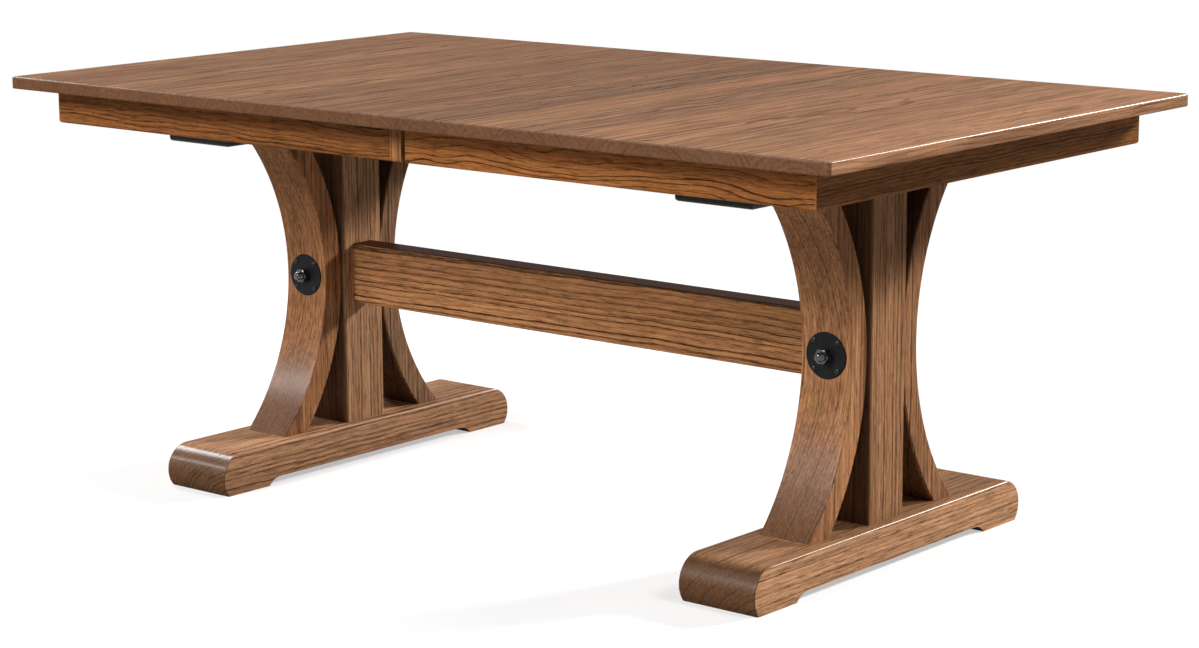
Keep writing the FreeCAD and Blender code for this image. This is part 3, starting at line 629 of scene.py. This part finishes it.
def screw_tree():
    """Pan-head screws with a cross recess, one on each seat, the head towards the facing stored there."""
    tree = bpy.data.node_groups.new("pan head screws", "GeometryNodeTree")
    for name, kind in (
        ("Seats", "NodeSocketGeometry"),
        ("Head Radius", "NodeSocketFloat"),
        ("Head Height", "NodeSocketFloat"),
        ("Shank Length", "NodeSocketFloat"),
        ("Seed", "NodeSocketInt"),
        ("Finish", "NodeSocketMaterial"),
    ):
        tree.interface.new_socket(name, in_out="INPUT", socket_type=kind)
    tree.interface.new_socket("Screws", in_out="OUTPUT", socket_type="NodeSocketGeometry")
    bench = Bench(tree)
    given = bench.node("NodeGroupInput").outputs
    radius, height, length = given["Head Radius"], given["Head Height"], given["Shank Length"]

    def scale(value, share):
        return bench.math("MULTIPLY", value, share)

    def lifted(geometry, rise):
        offset = bench.node("ShaderNodeCombineXYZ", {2: rise}).outputs[0]
        return bench.node("GeometryNodeTransform", {"Geometry": geometry, "Translation": offset}).outputs[0]

    def bar(long_side, short_side):
        depth = scale(height, recess_depth_share)
        size = bench.node("ShaderNodeCombineXYZ", {0: long_side, 1: short_side, 2: depth}).outputs[0]
        return lifted(bench.node("GeometryNodeMeshCube", {"Size": size}).outputs["Mesh"], height)

    rings = {"Vertices": head_corners, "Side Segments": 2, "Fill Segments": 4}
    rings.update({"Radius": radius, "Depth": height})
    disc = bench.node("GeometryNodeMeshCylinder", rings, fill_type="TRIANGLE_FAN").outputs["Mesh"]
    head = lifted(disc, scale(height, 0.5))
    position = bench.node("GeometryNodeInputPosition").outputs[0]
    place = bench.node("ShaderNodeSeparateXYZ", {0: position}).outputs
    squares = [bench.math("MULTIPLY", value, value) for value in (place[0], place[1], radius)]
    out_share = bench.math("DIVIDE", bench.math("ADD", squares[0], squares[1]), squares[2])
    top_share = bench.math("DIVIDE", place[2], height)
    drop = bench.math("MULTIPLY", bench.math("MULTIPLY", out_share, top_share), scale(height, -dome_share))
    offset = bench.node("ShaderNodeCombineXYZ", {2: drop}).outputs[0]
    head = bench.node("GeometryNodeSetPosition", {"Geometry": head, "Offset": offset}).outputs[0]

    arm, slot = scale(radius, recess_arm_share), scale(radius, recess_slot_share)
    cutter = bench.node("GeometryNodeMeshBoolean", {"Mesh 1": head}, operation="DIFFERENCE", solver="EXACT")
    for mesh in (bar(arm, slot), bar(slot, arm)):
        tree.links.new(mesh, cutter.inputs["Mesh 2"])

    top, tip = scale(radius, shank_share), scale(radius, tip_share)
    narrow = {"Vertices": shank_corners, "Radius Top": top, "Radius Bottom": tip, "Depth": length}
    shank = bench.node("GeometryNodeMeshCone", narrow).outputs["Mesh"]
    whole = bench.node("GeometryNodeJoinGeometry")
    tree.links.new(cutter.outputs["Mesh"], whole.inputs[0])
    tree.links.new(lifted(shank, scale(length, -1.0)), whole.inputs[0])

    stored = bench.node("GeometryNodeInputNamedAttribute", {"Name": "facing"}, data_type="FLOAT_VECTOR")
    turn = bench.node("FunctionNodeAlignRotationToVector", {"Vector": stored.outputs[0]}, axis="Z").outputs[0]
    half_turn = {3: math.pi, "Seed": given["Seed"]}
    chance = bench.node("FunctionNodeRandomValue", half_turn, data_type="FLOAT").outputs[1]
    spin = bench.node("ShaderNodeCombineXYZ", {2: chance}).outputs[0]
    spin = bench.node("FunctionNodeEulerToRotation", {0: spin}).outputs[0]
    turn = bench.node("FunctionNodeRotateRotation", {0: turn, 1: spin}, rotation_space="LOCAL").outputs[0]
    set_out = {"Points": given["Seats"], "Instance": whole.outputs[0], "Rotation": turn}
    placed = bench.node("GeometryNodeInstanceOnPoints", set_out).outputs[0]
    solid = bench.node("GeometryNodeRealizeInstances", {0: placed}).outputs[0]
    coated = {"Geometry": solid, "Material": given["Finish"]}
    finished = bench.node("GeometryNodeSetMaterial", coated).outputs[0]
    bench.feed(finished, bench.node("NodeGroupOutput").inputs["Screws"])
    return tree


screws_tree = screw_tree()


def merged_copy(node):
    """The corner points and faces of a CAD node, with the seams between its faces closed."""
    mesh = bmesh.new()
    mesh.from_mesh(nodes[node].data)
    mesh.transform(nodes[node].matrix_world)
    bmesh.ops.remove_doubles(mesh, verts=mesh.verts, dist=merge_distance)
    return mesh


def islands(mesh):
    """Groups of points that faces join."""
    left = set(mesh.verts)
    while left:
        found = {left.pop()}
        edge_of_search = list(found)
        while edge_of_search:
            for edge in edge_of_search.pop().link_edges:
                for point in edge.verts:
                    if point in left:
                        left.discard(point)
                        found.add(point)
                        edge_of_search.append(point)
        yield [point.co.copy() for point in found]


def screw_seat(points):
    """Seat under the head, way the head faces, head radius, head height and shank length of one CAD screw."""
    low = Vector([min(point[axis] for point in points) for axis in range(3)])
    high = Vector([max(point[axis] for point in points) for axis in range(3)])
    size = high - low
    axis = max(range(3), key=lambda side: size[side])
    centre = (low + high) / 2
    head_radius = min(size[side] for side in range(3) if side != axis) / 2

    def away(point):
        across = point - centre
        across[axis] = 0.0
        return across.length

    head_places = [point[axis] for point in points if away(point) > wide_share * head_radius]
    head_low, head_high = min(head_places), max(head_places)
    outward = 1.0 if head_low + head_high > 2 * centre[axis] else -1.0
    seat = centre.copy()
    seat[axis] = head_low if outward > 0 else head_high
    facing = Vector((0, 0, 0))
    facing[axis] = outward
    head_height = head_high - head_low
    return seat, facing, head_radius, head_height, size[axis] - head_height


def add_piece(name, mesh, node):
    """A finished piece that rides on the body of a CAD node and takes its place."""
    piece = bpy.data.objects.new(name, mesh)
    bpy.context.scene.collection.objects.link(piece)
    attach(piece, body_of[node])
    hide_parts(node)


def pan_head_screws(node, seed):
    """One mesh of screws in place of a CAD node of screws."""
    mesh = merged_copy(node)
    seats = sorted((screw_seat(points) for points in islands(mesh)), key=lambda seat: tuple(seat[0]))
    mesh.free()
    holder_mesh = bpy.data.meshes.new(node + " seats")
    holder_mesh.from_pydata([seat[0] for seat in seats], [], [])
    facing = holder_mesh.attributes.new("facing", "FLOAT_VECTOR", "POINT")
    for entry, seat in zip(facing.data, seats):
        entry.vector = seat[1]
    holder = bpy.data.objects.new(node + " seats", holder_mesh)
    bpy.context.scene.collection.objects.link(holder)
    modifier = holder.modifiers.new("screws", "NODES")
    modifier.node_group = screws_tree
    head_radius, head_height, shank_length = seats[0][2:]
    values = {
        "Head Radius": head_radius,
        "Head Height": head_height,
        "Shank Length": shank_length,
        "Seed": seed,
        "Finish": nodes[node].material_slots[0].material,
    }
    for item in screws_tree.interface.items_tree:
        if item.name in values:
            modifier[item.identifier] = values[item.name]
    evaluated = holder.evaluated_get(bpy.context.evaluated_depsgraph_get())
    made_mesh = bpy.data.meshes.new_from_object(evaluated)
    bpy.data.objects.remove(holder)
    made_mesh.shade_smooth()
    made_mesh.set_sharp_from_angle(angle=sharp_angle)
    add_piece(node + "_pan_head", made_mesh, node)


def threaded_rod(node):
    """A bolt rod with a helical thread at both ends, in place of the plain CAD rod."""
    low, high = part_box(node)
    centre = (low + high) / 2
    radius, half = (high.x - low.x) / 2, (high.y - low.y) / 2
    plain = half - thread_length
    steps = math.ceil(thread_length / thread_pitch * thread_steps)
    one_side = [plain + thread_length * step / steps for step in range(steps + 1)]
    places = [-place for place in reversed(one_side)] + one_side
    points, faces = [], []
    for place in places:
        from_end = half - abs(place)
        if from_end < rod_round:
            limit = radius - rod_round + math.sqrt(rod_round ** 2 - (rod_round - from_end) ** 2)
        else:
            limit = radius
        for corner in range(rod_corners):
            share = corner / rod_corners
            wave = abs(2 * ((place / thread_pitch + share) % 1.0) - 1)
            reach = min(limit, radius - thread_depth * wave)
            angle = 2 * math.pi * share
            points.append(centre + Vector((reach * math.cos(angle), place, reach * math.sin(angle))))
    for row in range(len(places) - 1):
        for corner in range(rod_corners):
            following = (corner + 1) % rod_corners
            first, second = row * rod_corners, (row + 1) * rod_corners
            faces.append((first + corner, second + corner, second + following, first + following))
    last = (len(places) - 1) * rod_corners
    faces.append(tuple(range(rod_corners)))
    faces.append(tuple(last + corner for corner in reversed(range(rod_corners))))
    mesh = bpy.data.meshes.new(node + " thread")
    mesh.from_pydata(points, [], faces)
    mesh.shade_smooth()
    mesh.set_sharp_from_angle(angle=sharp_angle)
    mesh.materials.append(nodes[node].material_slots[0].material)
    add_piece(node + "_threaded", mesh, node)


for seed, node in enumerate(sorted(node for node in nodes if node.endswith("_screws"))):
    pan_head_screws(node, seed)
threaded_rod("left_through_rod")
threaded_rod("right_through_rod")


def seen_directly(bench):
    path = bench.node("ShaderNodeLightPath").outputs
    seen = bench.math("MAXIMUM", path["Is Camera Ray"], path["Is Glossy Ray"])
    return bench.math("MAXIMUM", seen, path["Is Transmission Ray"])


def white_floor():
    mesh = bpy.data.meshes.new("floor")
    corners = [(x * floor_reach, y * floor_reach, 0) for x, y in ((-1, -1), (1, -1), (1, 1), (-1, 1))]
    mesh.from_pydata(corners, [], [(0, 1, 2, 3)])
    floor = bpy.data.objects.new("floor", mesh)
    bpy.context.scene.collection.objects.link(floor)
    material, bench = new_material("pale floor")
    place = bench.node("ShaderNodeTexCoord").outputs["Object"]
    far = bench.between(bench.vector("LENGTH", place), floor_near, floor_far)
    matt = bench.node("ShaderNodeBsdfDiffuse", {"Color": grey(floor_matt)}).outputs[0]
    dull = bench.node("ShaderNodeBsdfDiffuse", {"Color": grey(floor_dull)}).outputs[0]
    lift = bench.node("ShaderNodeEmission", {"Color": grey(floor_lift)}).outputs[0]
    near = bench.node("ShaderNodeAddShader", {0: matt, 1: lift}).outputs[0]
    white = bench.node("ShaderNodeEmission", {"Color": grey(1.0)}).outputs[0]
    shown = bench.node("ShaderNodeMixShader", {0: far, 1: near, 2: white}).outputs[0]
    mixed = bench.node("ShaderNodeMixShader", {0: seen_directly(bench), 1: dull, 2: shown}).outputs[0]
    bench.feed(mixed, bench.node("ShaderNodeOutputMaterial").inputs["Surface"])
    mesh.materials.append(material)


def studio_world():
    world = bpy.data.worlds.new("studio")
    world.use_nodes = True
    world.node_tree.nodes.clear()
    bench = Bench(world.node_tree)
    soft = bench.node("ShaderNodeBackground", {"Color": grey(1.0), "Strength": world_strength}).outputs[0]
    white = bench.node("ShaderNodeBackground", {"Color": grey(1.0), "Strength": 1.0}).outputs[0]
    mixed = bench.node("ShaderNodeMixShader", {0: seen_directly(bench), 1: soft, 2: white}).outputs[0]
    bench.feed(mixed, bench.node("ShaderNodeOutputWorld").inputs["Surface"])
    bpy.context.scene.world = world


def disc_lamp(name, place, aim, size, power):
    data = bpy.data.lights.new(name, "AREA")
    data.shape = "DISK"
    data.size = size
    data.energy = power
    made = bpy.data.objects.new(name, data)
    made.location = place
    made.rotation_euler = (Vector(aim) - Vector(place)).to_track_quat("-Z", "Y").to_euler()
    bpy.context.scene.collection.objects.link(made)


def photo_camera():
    data = bpy.data.cameras.new("camera")
    data.sensor_width = sensor_width_mm
    data.lens = focal_pixels * sensor_width_mm / photo_width
    made = bpy.data.objects.new("camera", data)
    flat = math.cos(camera_elevation)
    across, ahead = math.sin(camera_azimuth) * flat, math.cos(camera_azimuth) * flat
    back = Vector((across, -ahead, math.sin(camera_elevation)))
    right = Vector((0, 0, 1)).cross(back).normalized()
    up = back.cross(right)
    cos, sin = math.cos(camera_roll), math.sin(camera_roll)
    columns = Matrix((cos * right + sin * up, cos * up - sin * right, back)).transposed()
    made.matrix_world = Matrix.Translation(camera_place) @ columns.to_4x4()
    bpy.context.scene.collection.objects.link(made)
    bpy.context.scene.camera = made


white_floor()
studio_world()
for lamp in lamps:
    disc_lamp(*lamp)
photo_camera()
bpy.context.scene.view_settings.view_transform = "Standard"
